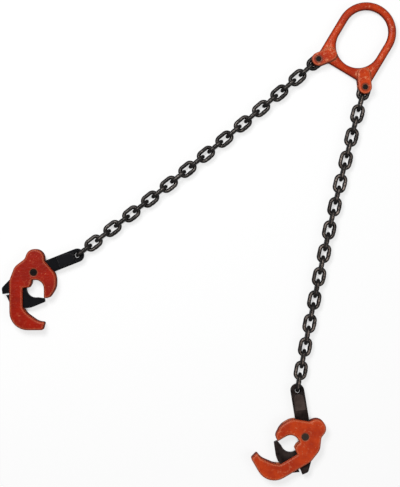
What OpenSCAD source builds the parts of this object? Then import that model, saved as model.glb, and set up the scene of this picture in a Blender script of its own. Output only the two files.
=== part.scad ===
// Drum lifter: a two-leg chain sling whose cam hooks grip the rim of a steel drum.
// It lies flat on the floor and is seen from above: +X right, +Y up the picture, +Z off the floor.
// The origin is the centre of the master link's eye, in the sling's mid-plane.

/* [Chain] */
// Diameter of the link wire
wire_d = 7; // [6:0.5:8]
// Inside length of a link
link_in_l = 21.35; // [19.5:0.05:24]
// Inside width of a link
link_in_w = 9.6; // [8.6:0.1:10.6]
// Links in each leg, first and last included
links = 26; // [4:2:26]
// Play where a link bears on the next link, on a pin or in an eye
link_play = 0.3; // [0.2:0.05:0.5]
// Height of the weld bead over the wire
weld_h = 0.4; // [0.2:0.05:0.6]
// Length of the weld bead along the wire
weld_l = 5; // [3:0.5:7]

/* [Master link] */
// Inside radius of the eye's round ends
eye_r = 38.6; // [34:0.2:43]
// Distance between the centres of the eye's round ends
eye_run = 28.6; // [20:0.2:40]
// Diameter of the eye's round bar
bar_d = 14.2; // [12:0.2:16]
// Thickness of the web between the eye and its lower edge
web_t = 9.6; // [7:0.2:11]
// Turn of the eye's long axis
eye_turn = -31; // [-45:0.1:0]
// Distance of a clevis pin from the long axis
ear_x = 47.8; // [44:0.2:52]
// Distance of a clevis pin below the eye's lower round centre
ear_drop = 56.8; // [53:0.2:62]
// Splay of an ear from the long axis
ear_splay = 37; // [28:0.5:44]
// Radius of an ear
ear_r = 11.7; // [11:0.1:13]
// Length of an ear's raised pad behind its pin
ear_back = 22.6; // [18:0.2:24]
// Chamfer round the ear pads
ear_bevel = 1.6; // [0.8:0.1:2.4]
// Side play of a link between the ears
ear_play = 0.6; // [0.3:0.1:1]

/* [Hook] */
// Width of the shank between the pivot and the claw
shank_w = 23.4; // [20:0.2:27]
// Distance of the shank's inner edge from the pivot
throat_x = 19.7; // [17:0.1:22]
// Depth of the claw's underside below the pivot
claw_drop = 101.5; // [96:0.5:110]
// Depth of the claw's seat below the pivot
seat_drop = 87; // [83:0.5:90]
// Reach of the claw past the pivot
claw_reach = 19; // [15:0.5:24]
// Radius of the round top of the throat
throat_r = 15.2; // [14:0.2:16]
// Height of the crest over the pivot
crest_h = 41; // [36:0.5:46]
// Reach of the horn past the pivot
horn_reach = 39.4; // [37:0.2:43]
// Depth of the horn's tip below the pivot
horn_drop = 45.3; // [43:0.1:46]
// Bevel round the forging's edges
hook_bevel = 2.2; // [0.8:0.1:2.6]
// Diameter of the pivot pin
pivot_d = 12; // [10:0.2:13]

/* [Lever] */
// Distance from the pivot to where the last link bears
lever_reach = 82; // [78:0.5:90]
// Width of the lever's arm
arm_w = 24; // [22:0.2:24.4]
// Thickness of the lever
lever_t = 9.4; // [8.6:0.1:10.4]
// Angle of the arm over the hook's own X axis with the jaw closed
arm_angle = 21.2; // [18:0.2:24]
// Swing of the lever from closed to open
open_swing = 35; // [25:1:35]
// Radius of the eye at the arm's end
lever_eye_r = 4.4; // [4.2:0.1:5.4]
// Height of the pad on each face of the arm
pad_h = 1.2; // [0.6:0.1:1.6]
// Width of the slit between the thumb lobe and the cam's heel
slit_w = 2.8; // [2:0.1:3.4]
// Play of the lever in the hook's slot
slot_play = 0.3; // [0.2:0.05:0.5]
// Radial play of a pin in its bore
pin_play = 0.1; // [0.05:0.01:0.2]

/* [Lay] */
// Heading of the left leg at its first link, from straight down, positive to the left
left_first = 49; // [40:0.1:55]
// Heading of the left leg at its last link
left_last = 52.8; // [45:0.1:60]
// Heading of the right leg at its first link
right_first = 15.1; // [10:0.1:20]
// Heading of the right leg at its last link
right_last = 10; // [5:0.1:15]
// Turn of the left hook
left_turn = 0.4; // [-10:0.1:10]
// Turn of the right hook, after it is flipped over
right_turn = -59.5; // [-70:0.1:-50]

/* [Hidden] */
$fn = 64;
SIDES = ["left", "right"];
LEFT = 0;
RIGHT = 1;
paint = [[0.66, 0.17, 0.1], [0.74, 0.22, 0.11]];
eye_paint = [0.72, 0.21, 0.1];
black = [0.11, 0.1, 0.09];
pin_grey = [0.2, 0.19, 0.19];
bite = 0.01;
arc_steps = 8;
edge_over = 0.4;
least_r = 0.05;

// Chain: a link is drawn along +X, lying flat
wire_r = wire_d / 2;
bow_r = (link_in_w + wire_d) / 2;
leg_l = link_in_l - link_in_w;
sling_t = link_in_w + 2 * wire_d;
far_wire = link_in_l / 2 + wire_r;
pitch = link_in_l - link_play;
weld_taper = 1;

// Master link, in its own frame: eye upright, legs down
bar_x = eye_r + bar_d / 2;
eye_low = -eye_run / 2;
clevis_pin_d = link_in_w - 2 * link_play;
pin_to_link = link_in_l / 2 - link_play - clevis_pin_d / 2;
pin_to_wire = pin_to_link + far_wire;
ear_gap = wire_d + 2 * ear_play;
ear_y = eye_low - ear_drop;
wire_room = sling_t / 2 + weld_h + ear_play;
ear_room = wire_room + ear_play;
pin_bevel = 0.6;

// Lever, in the hook's frame with the jaw closed
arm_r = arm_w / 2;
horn_in = 1.4;
throat_drop = 13.2;
hub_r = arm_r + 0.3;
eye_shift = lever_eye_r - wire_r - link_play;
eye_x = lever_reach - eye_shift;
bow_play = 0.7;
tongue_t = link_in_w - 2 * bow_play;
pad_from = 46;
tongue_from = lever_reach - wire_r - 2.5;
pad_r = arm_r - 3;
throat_at = [claw_reach - throat_r - horn_in, -throat_drop - throat_r];
jaw_gap = 0.6;
cam_low = -horn_drop - 17.9;
jaw_play = 0.8;
slot_t = lever_t + 2 * slot_play;
slot_side = 0.6;
slot_spare = 7.8;
slot_r = slot_spare - cam_low;

function turned(a, p) = [cos(a) * p.x - sin(a) * p.y, sin(a) * p.x + cos(a) * p.y];
function unit(v) = v / norm(v);
function wrapped(a) = a > 180 ? a - 360 : a < -180 ? a + 360 : a;
function xy(p) = [p.x, p.y];

// Legs: link 1 is the one on the clevis pin, and odd links lie flat
function heading(side, i) =
    let (first = side == LEFT ? left_first : right_first)
    let (last = side == LEFT ? left_last : right_last)
    -90 - first - (last - first) * (i - 1) / (links - 1);
function along(side, i) = turned(heading(side, i), [1, 0]);
function ear_pin(side) = turned(eye_turn, [side == LEFT ? -ear_x : ear_x, ear_y]);
function link_at(side, i) =
    i == 1 ? ear_pin(side) + pin_to_link * along(side, 1)
    : bow_at(side, i - 1) + (pitch - far_wire) * along(side, i);
function bow_at(side, i) = link_at(side, i) + far_wire * along(side, i);
function link_name(side, i) = str(SIDES[side], "_link_", i < 10 ? "0" : "", i);
function part_name(side, what) = str(SIDES[side], "_", what);
function hook_turn(side) = side == LEFT ? left_turn : right_turn;
function flipped(side, p) = side == LEFT ? p : [-p.x, p.y];
function pivot_at(side) =
    bow_at(side, links) - turned(hook_turn(side), flipped(side, turned(arm_angle, [lever_reach, 0])));

// Outlines: corners [x, y, radius] in order, anticlockwise, joined by straight edges and round arcs
function corner_arc(a, b, c, r) =
    let (u = unit(a - b), v = unit(c - b))
    let (half = acos(u * v) / 2)
    let (centre = b + unit(u + v) * r / sin(half))
    let (from = b + u * r / tan(half) - centre, to = b + v * r / tan(half) - centre)
    let (start = atan2(from.y, from.x))
    let (sweep = wrapped(atan2(to.y, to.x) - start))
    let (step = sweep / arc_steps)
    [for (k = [0 : arc_steps]) centre + r * [cos(start + step * k), sin(start + step * k)]];
function cyclic(list, i) = list[(i + len(list)) % len(list)];
function rounded(corners) = [
    for (i = [0 : len(corners) - 1])
    each corner_arc(xy(cyclic(corners, i - 1)), xy(corners[i]), xy(cyclic(corners, i + 1)), corners[i][2])
];
function left_normal(a, b) = turned(90, unit(b - a));
function inset_corner(a, b, c, r, d) =
    let (n = left_normal(a, b), m = left_normal(b, c))
    let (p = b + d * (n + m) / (1 + n * m))
    let (convex = n.x * m.y - n.y * m.x > 0)
    [p.x, p.y, convex ? max(r - d, least_r) : r + d];
function inset(corners, d) = [
    for (i = [0 : len(corners) - 1])
    inset_corner(
        xy(cyclic(corners, i - 1)), xy(corners[i]), xy(cyclic(corners, i + 1)), corners[i][2], d)
];
function lifted(points, z) = [for (p = points) [p.x, p.y, z]];

// Ring of wedges that takes one edge off a plate of this outline, whose face is at z = face
module edge_wedge(corners, face, bevel) {
    up = sign(face);
    outer = rounded(inset(corners, -edge_over));
    inner = rounded(inset(corners, bevel + edge_over));
    n = len(outer);
    low = lifted(outer, face - up * (bevel + edge_over));
    high = lifted(outer, face + up * edge_over);
    slope = lifted(inner, face + up * edge_over);
    sides = [
        for (k = [0 : 2]) for (i = [0 : n - 1])
        let (next = (i + 1) % n, loop = k * n, upper = (k + 1) % 3 * n)
        [loop + i, loop + next, upper + next, upper + i]
    ];
    polyhedron(points = up > 0 ? concat(low, slope, high) : concat(low, high, slope), faces = sides);
}

// Plate of thickness t, centred, with both edges of its outline bevelled
module bevelled_plate(corners, t, bevel) {
    difference() {
        slab(t)
            polygon(rounded(corners));
        edge_wedge(corners, t / 2, bevel);
        edge_wedge(corners, -t / 2, bevel);
    }
}

// Rod along Z, centred, with both ends bevelled
module bevelled_pin(d, l, bevel) {
    rotate_extrude()
        polygon([
            [0, -l / 2], [d / 2 - bevel, -l / 2], [d / 2, -l / 2 + bevel],
            [d / 2, l / 2 - bevel], [d / 2 - bevel, l / 2], [0, l / 2]
        ]);
}

module slab(t) {
    translate([0, 0, -t / 2])
        linear_extrude(t)
            children();
}

// One chain link along +X: two bows, two straight sides and a weld bead on one of them
module link_shape() {
    for (end = [-1, 1])
        translate([end * leg_l / 2, 0, 0])
            rotate(end > 0 ? -90 : 90)
                rotate_extrude(angle = 180)
                    translate([bow_r, 0])
                        circle(wire_r);
    for (side = [-1, 1])
        translate([-leg_l / 2, side * bow_r, 0])
            rotate([0, 90, 0])
                cylinder(h = leg_l, r = wire_r);
    translate([0, bow_r, 0])
        rotate([0, 90, 0])
            rotate_extrude()
                polygon([
                    [0, -weld_l / 2 - weld_taper], [wire_r, -weld_l / 2 - weld_taper],
                    [wire_r + weld_h, -weld_l / 2], [wire_r + weld_h, weld_l / 2],
                    [wire_r, weld_l / 2 + weld_taper], [0, weld_l / 2 + weld_taper]
                ]);
}

module chain_link(side, i) {
    color(black)
        translate(link_at(side, i))
            rotate(heading(side, i))
                rotate([i % 2 == 1 ? 0 : 90, 0, 0])
                    link_shape();
}

// Half of a round bar bent to the eye's radius
module eye_bow() {
    rotate_extrude(angle = 180)
        translate([bar_x, 0])
            circle(bar_d / 2);
}

// Ear pad from its pin, at the origin, back along -X
module ear_pad() {
    h = sling_t / 2;
    for (x = [0, -ear_back])
        translate([x, 0, 0])
            bevelled_pin(2 * ear_r, sling_t, ear_bevel);
    rotate([0, -90, 0])
        linear_extrude(ear_back)
            polygon([
                [-h, -ear_r + ear_bevel], [-h + ear_bevel, -ear_r], [h - ear_bevel, -ear_r],
                [h, -ear_r + ear_bevel], [h, ear_r - ear_bevel], [h - ear_bevel, ear_r],
                [-h + ear_bevel, ear_r], [-h, ear_r - ear_bevel]
            ]);
}

// Room that the first two links need between the ears, round the pin at the origin
module ear_cut() {
    slot_reach = 2 * ear_r;
    slab(ear_gap) {
        circle(ear_room);
        translate([0, -slot_reach])
            square([slot_reach, 2 * slot_reach]);
    }
    rotate(-75)
        rotate_extrude(angle = 150)
            translate([pin_to_wire, 0])
                circle(wire_room);
    cylinder(h = sling_t + 2, r = clevis_pin_d / 2 + pin_play, center = true);
}

module at_ear(side) {
    translate([side == LEFT ? -ear_x : ear_x, ear_y, 0])
        rotate(-90 + (side == LEFT ? -ear_splay : ear_splay))
            children();
}

module master_link() {
    side_l = eye_run / 2 - ear_y - ear_r;
    edge_y = eye_low - bar_x;
    edge_l = 2 * (ear_x - ear_back * sin(ear_splay));
    color(eye_paint)
        rotate(eye_turn)
            difference() {
                union() {
                    translate([0, eye_run / 2, 0])
                        eye_bow();
                    translate([0, eye_low, 0])
                        rotate(180)
                            eye_bow();
                    for (x = [-bar_x, bar_x])
                        translate([x, eye_run / 2, 0])
                            rotate([90, 0, 0])
                                cylinder(h = side_l, r = bar_d / 2);
                    translate([-edge_l / 2, edge_y, 0])
                        rotate([0, 90, 0])
                            cylinder(h = edge_l, r = bar_d / 2);
                    slab(web_t)
                        difference() {
                            translate([-bar_x, edge_y])
                                square([2 * bar_x, eye_low - edge_y]);
                            translate([0, eye_low])
                                circle(bar_x);
                        }
                    for (side = [LEFT, RIGHT])
                        at_ear(side)
                            ear_pad();
                }
                for (side = [LEFT, RIGHT])
                    at_ear(side)
                        ear_cut();
            }
}

module clevis_pins() {
    color(pin_grey)
        for (side = [LEFT, RIGHT])
            translate(ear_pin(side))
                bevelled_pin(clevis_pin_d, sling_t, pin_bevel);
}

// Hook frame: pivot at the origin, claw down, mouth to the right
module at_hook(side) {
    translate(pivot_at(side))
        rotate(hook_turn(side))
            mirror([side == LEFT ? 0 : 1, 0, 0])
                children();
}

back_x = -throat_x - shank_w;
// The claw's wall under the seat limits the fillets at its tip and the bevel of the hook
claw_wall = claw_drop - seat_drop;
tip_low_r = min(3.5, 0.3 * claw_wall);
tip_top_r = min(2.5, 0.2 * claw_wall);
hook_edge = min(hook_bevel, 0.2 * claw_wall);
hook_outline = [
    [18.6, 20.5, 5], [19.6, crest_h, 16.4], [-9.5, crest_h, 15.4], [-15.5, crest_h - 17, 12],
    [-33.5, 10.5, 22], [back_x, -14, 30], [back_x, -claw_drop, 32],
    [claw_reach - 3.8, -claw_drop, tip_low_r], [claw_reach, -seat_drop - 0.3, tip_top_r],
    [claw_reach - 11.5, -seat_drop + 0.4, 25], [-throat_x + 7.2, -seat_drop + 15, 30],
    [-throat_x, -seat_drop + 25, 10], [-throat_x, -27.6, 1], [-8, -26.4, 2], [-4.2, -19.8, 2.2],
    [-3.8, throat_at.y + throat_r, 1.5], [throat_at.x + throat_r, throat_at.y + throat_r, throat_r],
    [throat_at.x + throat_r, -horn_drop, 2.2], [27.5, -horn_drop, 10],
    [horn_reach, -27, 28], [horn_reach, -4, 26]
];

// Room for the lever between the hook's cheeks, from closed to open
module lever_room() {
    w = arm_r + slot_side;
    far = lever_reach;
    tail_top = 15.5;
    open = arm_angle - open_swing;
    polygon([
        turned(arm_angle, [-hub_r / 2, w]), turned(arm_angle, [far, w]),
        turned(open, [far, -w]), turned(open, [0, -w])
    ]);
    circle(hub_r + slot_side);
    intersection() {
        circle(slot_r);
        polygon([
            [-slot_r, tail_top], [throat_at.x, tail_top], [throat_at.x, -horn_drop - slot_side],
            [slot_r, -horn_drop - slot_side], [slot_r, -slot_r], [-slot_r, -slot_r]
        ]);
    }
}

module hook(side) {
    color(paint[side])
        at_hook(side)
            difference() {
                bevelled_plate(hook_outline, sling_t, hook_edge);
                slab(slot_t)
                    lever_room();
                cylinder(h = sling_t + 2, r = pivot_d / 2 + pin_play, center = true);
            }
}

module pivot_pin(side) {
    color(pin_grey)
        at_hook(side)
            bevelled_pin(pivot_d, sling_t, pin_bevel);
}

cam_outline = [
    [-6, 10.5, 6], [-42.5, -11.8, 6], [-57.3, -27, 7], [-55.8, -38.6, 3], [-49.3, -40.2, 1],
    [-42.6, cam_low + 8.7, 4], [-30, cam_low + 1.7, 12], [-8, cam_low, 30], [18.8, cam_low + 10.9, 2],
    [18.2, -horn_drop - jaw_gap, 1.2], [throat_at.x + 3, throat_at.y - throat_r - jaw_play + 0.3, 1],
    [throat_at.x, throat_at.y, 4], [6, -8, 3]
];

// Flat shape of hub, cam and thumb lobe, in the hook's frame
module cam_plate() {
    slit_from = [-36, cam_low + 26.8];
    slit_l = 30;
    difference() {
        union() {
            circle(hub_r);
            polygon(rounded(cam_outline));
        }
        translate(slit_from)
            circle(slit_w / 2);
        translate(slit_from)
            rotate(189)
                translate([0, -slit_w / 2])
                    square([slit_l, slit_w]);
    }
}

// Hole for the last link, its lips rounded to sit in the link's bow
module eye_hole() {
    lip_lean = 0.4;
    lip_r = tongue_t / 2 + lip_lean;
    rotate_extrude()
        difference() {
            translate([0, -lip_r])
                square([lever_eye_r + lip_r, 2 * lip_r]);
            translate([lever_eye_r + lip_r, 0])
                circle(lip_r);
        }
}

// Raised pad and thinned eye of the arm, which runs along +X from the pivot
module arm_end() {
    pad_to = tongue_from - pad_r - 1;
    slab(lever_t + 2 * pad_h) {
        translate([pad_from, -pad_r])
            square([pad_to - pad_from, 2 * pad_r]);
        translate([pad_to, 0])
            circle(pad_r);
    }
    slab(tongue_t) {
        translate([tongue_from - bite, -arm_r])
            square([eye_x - tongue_from + bite, arm_w]);
        translate([eye_x, 0])
            circle(arm_r);
    }
}

module lever(side) {
    color(black)
        at_hook(side)
            difference() {
                union() {
                    slab(lever_t) {
                        cam_plate();
                        rotate(arm_angle)
                            translate([0, -arm_r])
                                square([tongue_from, arm_w]);
                    }
                    rotate(arm_angle)
                        arm_end();
                }
                rotate(arm_angle)
                    translate([eye_x, 0, 0])
                        eye_hole();
                cylinder(h = lever_t + 2, r = pivot_d / 2 + pin_play, center = true);
                translate(throat_at)
                    cylinder(h = lever_t + 2, r = throat_r + jaw_play, center = true);
            }
}

master_link();
clevis_pins();
for (s = [LEFT, RIGHT]) {
    for (i = [1 : links])
        chain_link(s, i);
    lever(s);
    hook(s);
    pivot_pin(s);
}
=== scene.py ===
"""Looks of the drum lifter: painted forgings, blackened chain and levers, on a white floor, from above."""

import bmesh
import bpy
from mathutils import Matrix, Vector


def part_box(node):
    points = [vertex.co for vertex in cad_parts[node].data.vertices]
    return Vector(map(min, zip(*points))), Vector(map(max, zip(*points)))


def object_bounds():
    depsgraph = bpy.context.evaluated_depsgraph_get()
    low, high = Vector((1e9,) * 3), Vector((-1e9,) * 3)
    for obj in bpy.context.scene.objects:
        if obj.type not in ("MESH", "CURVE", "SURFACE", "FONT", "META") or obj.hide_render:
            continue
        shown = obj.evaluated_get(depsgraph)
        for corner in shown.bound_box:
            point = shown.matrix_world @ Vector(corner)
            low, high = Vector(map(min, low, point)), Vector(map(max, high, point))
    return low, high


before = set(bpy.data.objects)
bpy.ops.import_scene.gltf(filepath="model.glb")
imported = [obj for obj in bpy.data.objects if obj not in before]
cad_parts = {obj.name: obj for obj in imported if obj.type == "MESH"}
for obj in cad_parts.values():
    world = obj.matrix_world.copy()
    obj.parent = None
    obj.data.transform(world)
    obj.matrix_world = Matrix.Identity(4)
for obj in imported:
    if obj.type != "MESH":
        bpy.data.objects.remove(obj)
cad_low, cad_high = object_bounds()

MM = 0.001


def rgb(red, green, blue):
    return (red, green, blue, 1.0)


# Paint of the forgings: full coat, thin coat over the steel that also serves as painted highlight on edges
# and flecks, and where it pooled dark
ORANGE = rgb(0.55, 0.049, 0.004)
ORANGE_THIN_AND_HIGHLIGHT = rgb(0.72, 0.24, 0.11)
ORANGE_SHADE = rgb(0.37, 0.022, 0.002)
RED = rgb(0.33, 0.010, 0.001)
RED_THIN_AND_HIGHLIGHT = rgb(0.66, 0.20, 0.09)
RED_SHADE = rgb(0.24, 0.007, 0.001)
# Painted shade on the upright flanks of the forgings
PAINTED_FLANK_SHADE = rgb(0.09, 0.010, 0.005)
# Colour of the darker ring around the pins
AROUND_PIN_DARK = rgb(0.030, 0.012, 0.009)

# Blackened steel of the chain, levers and pins, and what shows through it or lies on it; the chain's bare
# metal also serves as painted highlight
BLACK = rgb(0.004, 0.003, 0.003)
BARE_AND_HIGHLIGHT = rgb(0.14, 0.122, 0.11)
BARE_BROWN_AND_HIGHLIGHT = rgb(0.25, 0.20, 0.172)
LEVER_BLACK = rgb(0.004, 0.004, 0.005)
LEVER_DUST = rgb(0.012, 0.012, 0.014)
LEVER_RUB = rgb(0.07, 0.065, 0.065)
BROWN_BLACK = rgb(0.007, 0.005, 0.005)
BROWN_DUST = rgb(0.105, 0.075, 0.066)
PIN = rgb(0.012, 0.010, 0.009)
PIN_RING = rgb(0.045, 0.038, 0.034)
PIN_BLACK = rgb(0.005, 0.002, 0.002)
PIN_BROWN = rgb(0.042, 0.027, 0.021)

WHITE = rgb(1.0, 1.0, 1.0)
FLOOR_BOUNCE = rgb(0.2, 0.2, 0.2)

# Forged paint: lengths in millimetres, noise in features per metre
PAINT_EDGE_R = 4.5
PAINT_DEPTH = 0.55
PAINT_CLOUDS = 38.0
PAINT_FLECKS_AND_GLINTS = 135.0
PAINT_RUBS_AND_HIGHLIGHTS = 150.0
PAINT_CHIPS = 270.0
PAINT_GRIT = 1100.0
FORGED_SCALE = 210.0
# Reach from a pin's centre, in millimetres, of the darker ring around it
AROUND_PIN_FROM, AROUND_PIN_TO = 6.0, 9.0

# Chain wire, in the same units
WIRE_DEPTH = 0.14
WIRE_CLOUDS = 90.0
WIRE_SCUFFS = 420.0

# Levers, with the height above the mid-plane at which their pads begin and are full
LEVER_EDGE_R = 1.6
LEVER_DEPTH = 0.2
LEVER_CLOUDS = 70.0
LEVER_SCALE = 380.0
PAD_FROM, PAD_TO = 5.2, 5.7

# Pins, with the turning's rings in radians per metre
CLEVIS_PIN_R = 4.5
PIN_DEPTH = 0.08
PIN_GRAIN = 600.0
PIN_GROOVES = 9000.0
RIM_FROM, RIM_TO = 2.5, 4.5

# How far the normal rolls where an edge begins to show and where it shows in full
EDGE_FROM, EDGE_TO = 0.006, 0.09

# Camera straight above the sling and the height of what it sees at the mid-plane, in metres, and its
# sensor in millimetres
VIEW_X, VIEW_Y, VIEW_Z = -0.2857, -0.3602, 2.1
VIEW_H = 0.8587
SENSOR = 36.0

# Floor, in metres: its half width, the share of its white that the lamps give near the sling, and where that
# share fades out. A spot that is covered within the reach, in millimetres, loses the rest of its white
FLOOR_HALF = 6.0
FLOOR_LIT_SHARE = 0.25
FADE_FROM, FADE_TO = 0.6, 1.6
COVER_REACH = 14.0
COVER_FROM, COVER_TO = 0.26, 0.42

# Lamps, from the mid-plane's point below the camera, and the strength of the world's light
KEY_AT, KEY_SIZE, KEY_POWER = (-0.6, 0.8, 1.9), 0.8, 40.0
FILL_AT, FILL_SIZE, FILL_POWER = (1.4, -0.6, 1.8), 1.4, 10.0
SKY_LIGHT = 0.15
RAY_KINDS = ("Is Camera Ray", "Is Glossy Ray", "Is Transmission Ray")


class Socket:
    """An output socket in a node tree. Arithmetic on it adds Math nodes to that tree."""

    def __init__(self, tree, out):
        self.tree = tree
        self.out = out

    def node(self, kind, settings=None, sockets=None, out=0):
        """Adds a node: its settings first, then the values or links of its sockets."""
        made = self.tree.nodes.new(kind)
        for name, value in (settings or {}).items():
            setattr(made, name, value)
        for key, value in (sockets or {}).items():
            if isinstance(value, Socket):
                self.tree.links.new(value.out, made.inputs[key])
            else:
                made.inputs[key].default_value = value
        return Socket(self.tree, made.outputs[out] if made.outputs else None)

    def math(self, operation, first, second=0.0, clamp=False):
        settings = {"operation": operation, "use_clamp": clamp}
        return self.node("ShaderNodeMath", settings, {0: first, 1: second})

    def vector_math(self, operation, first, second, out="Vector"):
        return self.node("ShaderNodeVectorMath", {"operation": operation}, {0: first, 1: second}, out)

    def __add__(self, other):
        return self.math("ADD", self, other)

    def __sub__(self, other):
        return self.math("SUBTRACT", self, other)

    def __rsub__(self, other):
        return self.math("SUBTRACT", other, self)

    def __mul__(self, other):
        return self.math("MULTIPLY", self, other)

    __radd__ = __add__
    __rmul__ = __mul__

    def noise(self, scale, detail=2.0, roughness=0.5):
        """Fine or coarse cloud on these coordinates, from 0 to 1."""
        sockets = {"Vector": self, "Scale": scale, "Detail": detail, "Roughness": roughness}
        return self.node("ShaderNodeTexNoise", None, sockets)

    def between(self, low, high):
        """0 at low, 1 at high, smooth between and level beyond."""
        settings = {"interpolation_type": "SMOOTHSTEP"}
        return self.node("ShaderNodeMapRange", settings, {"Value": self, "From Min": low, "From Max": high})

    def tint(self, first, second):
        """Colour that goes from first to second as this value goes from 0 to 1."""
        settings = {"data_type": "RGBA"}
        return self.node("ShaderNodeMix", settings, {0: self, 6: first, 7: second}, out=2)

    def bump(self, height_mm, below=None):
        """Normal of a surface that this value, from 0 to 1, raises by that many millimetres."""
        sockets = {"Strength": 1.0, "Distance": height_mm * MM, "Height": self}
        if below:
            sockets["Normal"] = below
        return self.node("ShaderNodeBump", None, sockets)


def new_material(name):
    """A material with an empty tree, and its object coordinates in metres."""
    material = bpy.data.materials.new(name)
    material.use_nodes = True
    tree = material.node_tree
    tree.nodes.clear()
    return material, Socket(tree, None).node("ShaderNodeTexCoord", out="Object")


def finish_material(place, sockets):
    shader = place.node("ShaderNodeBsdfPrincipled", None, sockets)
    place.node("ShaderNodeOutputMaterial", None, {"Surface": shader})


def rounded_edges(place, radius_mm):
    """Normal that rolls over the edges, and a mask that is 1 on them."""
    rolled = place.node("ShaderNodeBevel", {"samples": 6}, {"Radius": radius_mm * MM})
    normal = place.node("ShaderNodeNewGeometry", out="Normal")
    facing = place.vector_math("DOT_PRODUCT", rolled, normal, out="Value")
    return rolled, (1 - facing).between(EDGE_FROM, EDGE_TO)


def from_centres(place, centres):
    """Distance from the nearest of these centres, seen from above."""
    flat = place.vector_math("MULTIPLY", place, (1.0, 1.0, 0.0))
    reach = None
    for centre in centres:
        away = place.vector_math("DISTANCE", flat, centre, out="Value")
        reach = away if reach is None else place.math("MINIMUM", reach, away)
    return reach


def flatness(place):
    """1 where the surface lies in the plane of the sling, 0 where it stands upright."""
    normal = place.node("ShaderNodeTexCoord", out="Normal")
    upright = place.node("ShaderNodeSeparateXYZ", None, {0: normal}, out="Z")
    return place.math("ABSOLUTE", upright)


def forged_paint(name, colour, thin_and_highlight, shade, centres, flecks_and_glints, gloss):
    """Sprayed paint over a forging: thin on its edges and flecked on top, partly wear and partly painted
    highlight; painted shade on its flanks; darker in a ring around the pins.
    """
    material, place = new_material(name)
    rolled, edge = rounded_edges(place, PAINT_EDGE_R)
    cloud = place.noise(PAINT_CLOUDS, detail=3.0)
    scale = place.noise(FORGED_SCALE, detail=3.0, roughness=0.6)
    grit = place.noise(PAINT_GRIT, detail=3.0, roughness=0.6)
    flat = flatness(place)
    # Light rims on the top edges: partly worn thin paint, partly painted highlight
    rubs_and_highlights = place.noise(PAINT_RUBS_AND_HIGHLIGHTS, detail=3.0, roughness=0.6).between(0.2, 0.5)
    lighter_edges = edge * flat.between(0.35, 0.75) * rubs_and_highlights
    chips = place.noise(PAINT_CHIPS, detail=2.0).between(0.66, 0.74)
    # Light flecks on the top faces: partly paint chips, partly painted glints
    spots = place.noise(PAINT_FLECKS_AND_GLINTS, detail=6.0, roughness=0.68).between(0.56, 0.64)
    fleck_and_glint = spots * flat.between(0.82, 0.98) * flecks_and_glints
    # Upright flanks are darkened: painted shade
    painted_flank_shade = (1 - flat.between(0.42, 0.82)) * (scale * 0.4 + 0.6)
    # Paint darker in a ring around each pin
    past_pin = from_centres(place, centres).between(AROUND_PIN_FROM * MM, AROUND_PIN_TO * MM)
    around_pin_dark = (1 - past_pin) * scale.between(0.2, 0.5)
    coat = cloud.between(0.3, 0.7).tint(shade, colour)
    coat = (scale.between(0.5, 0.28) * 0.5).tint(coat, shade)
    coat = (chips * 0.5).tint(coat, thin_and_highlight)
    coat = fleck_and_glint.tint(coat, thin_and_highlight)
    coat = (lighter_edges * 0.85).tint(coat, thin_and_highlight)
    coat = painted_flank_shade.tint(coat, PAINTED_FLANK_SHADE)
    coat = (around_pin_dark * 0.7).tint(coat, AROUND_PIN_DARK)
    finish_material(place, {
        "Base Color": coat,
        "Roughness": grit * 0.12 + cloud * 0.12 + painted_flank_shade * 0.6 + 0.2,
        "Normal": (scale * 0.85 + grit * 0.15 - fleck_and_glint * 0.2).bump(PAINT_DEPTH, rolled),
        "Specular IOR Level": gloss,
    })
    return material


def blackened_chain(name, colour, worn_and_highlight):
    """Black lacquer over drawn wire, rubbed to bare metal where it faces up or down, which also serves as a
    painted highlight.
    """
    material, place = new_material(name)
    flat = flatness(place).between(0.88, 1.0)
    cloud = place.noise(WIRE_CLOUDS, detail=3.0)
    scuff = place.noise(WIRE_SCUFFS, detail=4.0, roughness=0.65)
    # Lighter where the wire faces up or down: partly rubbed bare metal, partly painted highlight
    bare_and_highlight = flat * scuff.between(0.3, 0.62) * (cloud.between(0.38, 0.62) * 0.8 + 0.2)
    finish_material(place, {
        "Base Color": bare_and_highlight.tint(colour, worn_and_highlight),
        "Roughness": scuff * 0.2 + 0.2,
        "Metallic": bare_and_highlight * 0.2,
        "Normal": (scuff * 0.8 + cloud * 0.2).bump(WIRE_DEPTH),
        "Specular IOR Level": 0.1,
    })
    return material


def blackened_lever(name, colour, dusty, rub):
    """Black scale of a drop forging, dusty on its raised pads and rubbed grey on its edges."""
    material, place = new_material(name)
    rolled, edge = rounded_edges(place, LEVER_EDGE_R)
    cloud = place.noise(LEVER_CLOUDS, detail=3.0)
    scale = place.noise(LEVER_SCALE, detail=4.0, roughness=0.6)
    height = place.node("ShaderNodeSeparateXYZ", None, {0: place}, out="Z")
    pad = place.math("ABSOLUTE", height).between(PAD_FROM * MM, PAD_TO * MM)
    lighter_edges = edge * scale.between(0.4, 0.62)
    dust = (cloud.between(0.3, 0.75) * 0.5 + pad * 0.5) * (scale * 0.6 + 0.4)
    finish_material(place, {
        "Base Color": (lighter_edges * 0.8).tint(dust.tint(colour, dusty), rub),
        "Roughness": scale * 0.3 + 0.3,
        "Normal": scale.bump(LEVER_DEPTH, rolled),
        "Specular IOR Level": 0.02,
    })
    return material


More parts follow.
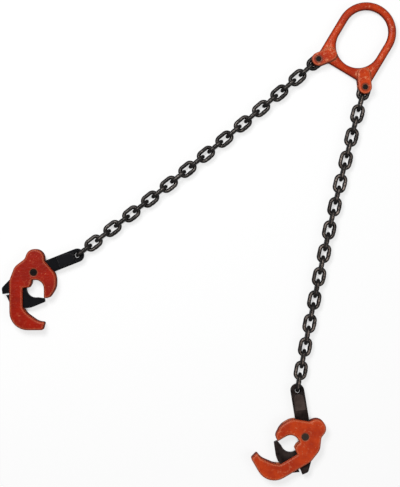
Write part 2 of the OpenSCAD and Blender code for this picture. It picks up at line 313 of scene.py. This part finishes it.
def turned_pin(name, centres, colour, ring):
    """Dark pin with the rings of its turning about each centre on its end faces."""
    material, place = new_material(name)
    reach = from_centres(place, centres)
    groove = place.math("SINE", reach * PIN_GROOVES) * 0.5 + 0.5
    grain = place.noise(PIN_GRAIN, detail=4.0, roughness=0.6)
    rim = reach.between(RIM_FROM * MM, RIM_TO * MM) * grain.between(0.35, 0.7)
    finish_material(place, {
        "Base Color": (rim * 0.7).tint(colour, ring),
        "Roughness": grain * 0.3 + 0.3,
        "Normal": (groove * 0.5 + grain * 0.5).bump(PIN_DEPTH),
        "Specular IOR Level": 0.04,
    })
    return material


def pin_centre(node):
    low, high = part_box(node)
    middle = (low + high) / 2
    return (middle.x, middle.y, 0.0)


def clevis_centres():
    """Both pins are one node: they stand at its box's upper left and lower right, a radius inside it."""
    low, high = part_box("clevis_pins")
    inside = CLEVIS_PIN_R * MM
    return [(low.x + inside, high.y - inside, 0.0), (high.x - inside, low.y + inside, 0.0)]


def dress_nodes():
    """Gives each forging, lever and pin its own finish, and every other node the finish of its chain."""
    left_centre = [pin_centre("left_pivot_pin")]
    right_centre = [pin_centre("right_pivot_pin")]
    orange = (ORANGE, ORANGE_THIN_AND_HIGHLIGHT, ORANGE_SHADE)
    red = (RED, RED_THIN_AND_HIGHLIGHT, RED_SHADE)
    left_chain = blackened_chain("left_chain_black", BLACK, BARE_AND_HIGHLIGHT)
    right_chain = blackened_chain("right_chain_black", BLACK, BARE_BROWN_AND_HIGHLIGHT)
    looks = {
        "master_link": forged_paint("master_paint", *orange, clevis_centres(), flecks_and_glints=0.7, gloss=0.16),
        "right_hook": forged_paint("orange_paint", *orange, right_centre, flecks_and_glints=0.3, gloss=0.16),
        "left_hook": forged_paint("red_paint", *red, left_centre, flecks_and_glints=0.1, gloss=0.09),
        "left_lever": blackened_lever("left_lever_black", LEVER_BLACK, LEVER_DUST, LEVER_RUB),
        "right_lever": blackened_lever("right_lever_black", BROWN_BLACK, BROWN_DUST, LEVER_RUB),
        "clevis_pins": turned_pin("clevis_pin_steel", clevis_centres(), PIN, PIN_RING),
        "left_pivot_pin": turned_pin("left_pin_steel", left_centre, PIN_BLACK, PIN),
        "right_pivot_pin": turned_pin("right_pin_steel", right_centre, PIN_BROWN, PIN_RING),
    }
    for name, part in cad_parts.items():
        chain = left_chain if name.startswith("left") else right_chain
        part.data.materials.clear()
        part.data.materials.append(looks.get(name, chain))


def add_object(name, data, place=(0.0, 0.0, 0.0)):
    made = bpy.data.objects.new(name, data)
    made.location = place
    bpy.context.scene.collection.objects.link(made)
    return made


def seen_directly(place):
    """1 for the camera's rays and for those that metal or glass sends on, 0 for the rest."""
    paths = place.node("ShaderNodeLightPath").out.node
    camera, glossy, through = [Socket(place.tree, paths.outputs[kind]) for kind in RAY_KINDS]
    return place.math("ADD", camera + glossy, through, clamp=True)


def floor_material(ground):
    """White to the camera, with the shadows near the sling, and grey to the light that it sends back up."""
    material, place = new_material("white_floor")
    grey = place.node("ShaderNodeBsdfDiffuse", None, {"Color": FLOOR_BOUNCE})
    paper = place.node("ShaderNodeBsdfDiffuse", None, {"Color": WHITE})
    glow = place.node("ShaderNodeEmission", None, {"Color": WHITE, "Strength": 1.0})
    away = place.vector_math("DISTANCE", place, ground, out="Value")
    faded = away.between(FADE_FROM, FADE_TO) * FLOOR_LIT_SHARE + (1 - FLOOR_LIT_SHARE)
    cover = {"Distance": COVER_REACH * MM}
    open_sky = place.node("ShaderNodeAmbientOcclusion", {"samples": 8}, cover, out="AO")
    glowing = faded * open_sky.between(COVER_FROM, COVER_TO)
    white = place.node("ShaderNodeMixShader", None, {0: glowing, 1: paper, 2: glow})
    mixed = place.node("ShaderNodeMixShader", None, {0: seen_directly(place), 1: grey, 2: white})
    place.node("ShaderNodeOutputMaterial", None, {"Surface": mixed})
    return material


def make_floor():
    ground = Vector((VIEW_X, VIEW_Y, cad_low.z))
    shape = bmesh.new()
    bmesh.ops.create_grid(shape, x_segments=1, y_segments=1, size=FLOOR_HALF)
    bmesh.ops.translate(shape, verts=shape.verts, vec=ground)
    mesh = bpy.data.meshes.new("floor")
    shape.to_mesh(mesh)
    shape.free()
    mesh.materials.append(floor_material(ground))
    floor = add_object("floor", mesh)


def make_world():
    """White where it is seen, and a weak light from all sides."""
    world = bpy.data.worlds.new("studio")
    bpy.context.scene.world = world
    world.use_nodes = True
    tree = world.node_tree
    tree.nodes.clear()
    place = Socket(tree, None)
    strength = seen_directly(place) * (1 - SKY_LIGHT) + SKY_LIGHT
    sky = place.node("ShaderNodeBackground", None, {"Color": WHITE, "Strength": strength})
    place.node("ShaderNodeOutputWorld", None, {"Surface": sky})


def add_lamp(name, offset, size, power):
    """Square lamp at that offset from the mid-plane's point below the camera, turned towards it."""
    target = Vector((VIEW_X, VIEW_Y, 0.0))
    place = Vector((VIEW_X + offset[0], VIEW_Y + offset[1], offset[2]))
    data = bpy.data.lights.new(name, "AREA")
    data.shape = "SQUARE"
    data.size = size
    data.energy = power
    lamp = add_object(name, data, place)
    lamp.rotation_euler = (target - place).to_track_quat("-Z", "Y").to_euler()


def make_camera():
    data = bpy.data.cameras.new("camera")
    data.sensor_width = SENSOR
    data.lens = SENSOR * VIEW_Z / VIEW_H
    bpy.context.scene.camera = add_object("camera", data, (VIEW_X, VIEW_Y, VIEW_Z))


dress_nodes()
make_floor()
make_world()
add_lamp("key", KEY_AT, KEY_SIZE, KEY_POWER)
add_lamp("fill", FILL_AT, FILL_SIZE, FILL_POWER)
make_camera()
bpy.context.scene.view_settings.view_transform = "Standard"
